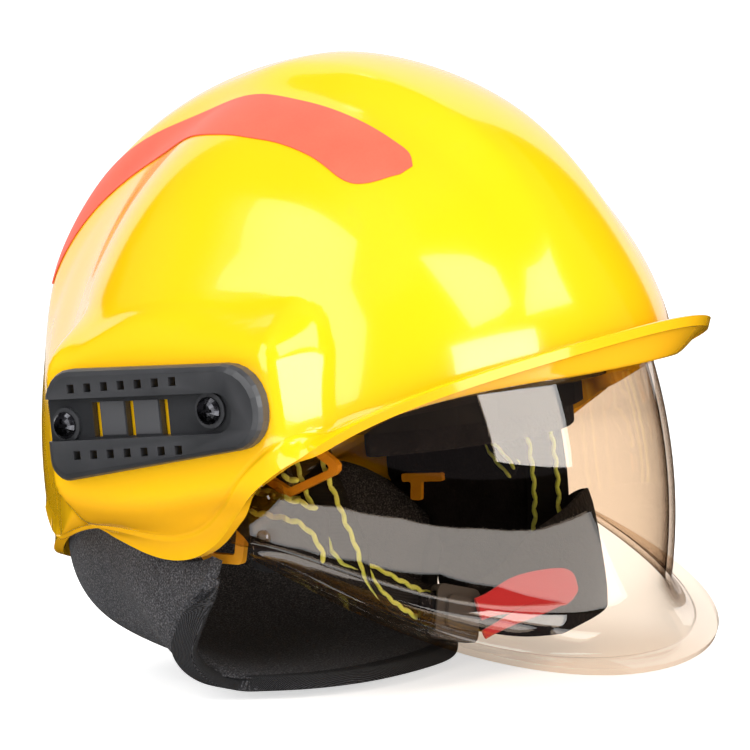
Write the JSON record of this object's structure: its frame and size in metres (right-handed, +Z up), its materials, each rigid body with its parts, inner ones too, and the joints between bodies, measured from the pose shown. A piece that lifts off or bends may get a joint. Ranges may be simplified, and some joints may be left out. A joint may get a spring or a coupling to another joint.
{
  "type": "firefighter helmet",
  "caption": "Jet-style structural firefighting helmet with a crested shell, side rails, a swing-up face shield, chin strap, headband ratchet and neck curtain.",
  "frame": {"origin": "On the ground under the middle of the helmet's length and width, with the helmet standing on its neck curtain.", "axes": "+Z up, the wearer faces -Y and the wearer's right is -X"},
  "size_m": [0.2438, 0.282, 0.2369],
  "materials": {
    "shell_yellow": "high gloss paint",
    "stripe_red": "satin reflective film",
    "black_plastic": "satin moulded",
    "screw_metal": "dark plated",
    "amber_lens": "clear tinted polycarbonate",
    "orange_plastic": "satin moulded",
    "black_foam": "moulded foam",
    "black_fleece": "plush",
    "webbing": "woven",
    "red_fabric": "woven",
    "grey_felt": "heathered felt"
  },
  "bodies": {
    "helmet": {"outer_shell": "shell_yellow", "reflective_stripe_right": "stripe_red", "reflective_stripe_left": "stripe_red", "side_rail_right": "black_plastic", "side_rail_left": "black_plastic", "visor_bracket_right": "black_plastic", "visor_bracket_left": "black_plastic", "suspension_ring": "black_plastic", "headband": "black_plastic", "nape_arm_right": "black_plastic", "nape_arm_left": "black_plastic", "buckle_body": "black_plastic", "ratchet_housing": "black_plastic", "rail_screw_right_front": "screw_metal", "rail_screw_right_rear": "screw_metal", "rail_screw_left_front": "screw_metal", "rail_screw_left_rear": "screw_metal", "pivot_screw_right": "screw_metal", "pivot_screw_left": "screw_metal", "friction_washer_right": "screw_metal", "friction_washer_left": "screw_metal", "buckle_tongue": "screw_metal", "front_loop_right": "orange_plastic", "front_loop_left": "orange_plastic", "rear_loop_right": "orange_plastic", "rear_loop_left": "orange_plastic", "impact_liner": "black_foam", "brow_pad": "black_fleece", "crown_pad": "black_fleece", "ear_pad_right": "black_fleece", "ear_pad_left": "black_fleece", "chin_pad": "black_fleece", "nape_pad": "black_fleece", "front_web_right": "webbing", "front_web_left": "webbing", "rear_web_right": "webbing", "rear_web_left": "webbing", "neck_curtain": "grey_felt"},
    "visor": {"visor_lens": "amber_lens", "visor_arm_right": "amber_lens", "visor_arm_left": "amber_lens", "arm_rivet_right_upper": "amber_lens", "arm_rivet_right_lower": "amber_lens", "arm_rivet_left_upper": "amber_lens", "arm_rivet_left_lower": "amber_lens"},
    "knob": {"ratchet_knob": "black_plastic"},
    "tail_right": {"headband_tail_right": "black_plastic"},
    "tail_left": {"headband_tail_left": "black_plastic"},
    "lever": {"release_lever": "black_plastic", "pull_tab": "red_fabric"}
  },
  "joints": [
    {"name": "visor_hinge", "type": "hinge", "parent": "helmet", "child": "visor", "pos_m": [0, 0.007, 0.076], "axis": [-1, 0, 0], "range_deg": [0, 33]},
    {"name": "knob_turn", "type": "hinge", "parent": "helmet", "child": "knob", "pos_m": [0, 0.085, 0.067], "axis": [0, 1, 0], "range_deg": [-50, 150]},
    {"name": "tail_right_slide", "type": "slide", "parent": "helmet", "child": "tail_right", "axis": [1, 0, 0], "range_m": [-0.0037, 0.0108]},
    {"name": "tail_left_slide", "type": "slide", "parent": "helmet", "child": "tail_left", "axis": [1, 0, 0], "range_m": [-0.0108, 0.0037]},
    {"name": "lever_hinge", "type": "hinge", "parent": "helmet", "child": "lever", "pos_m": [-0.04153, -0.0614, 0.02852], "axis": [-0.312, -0.0326, -0.9495], "range_deg": [0, 18]}
  ],
  "couplings": [
    {"joint": "tail_right_slide", "follows": "knob_turn", "m_per_rad": 0.0041},
    {"joint": "tail_left_slide", "follows": "knob_turn", "m_per_rad": -0.0041}
  ]
}
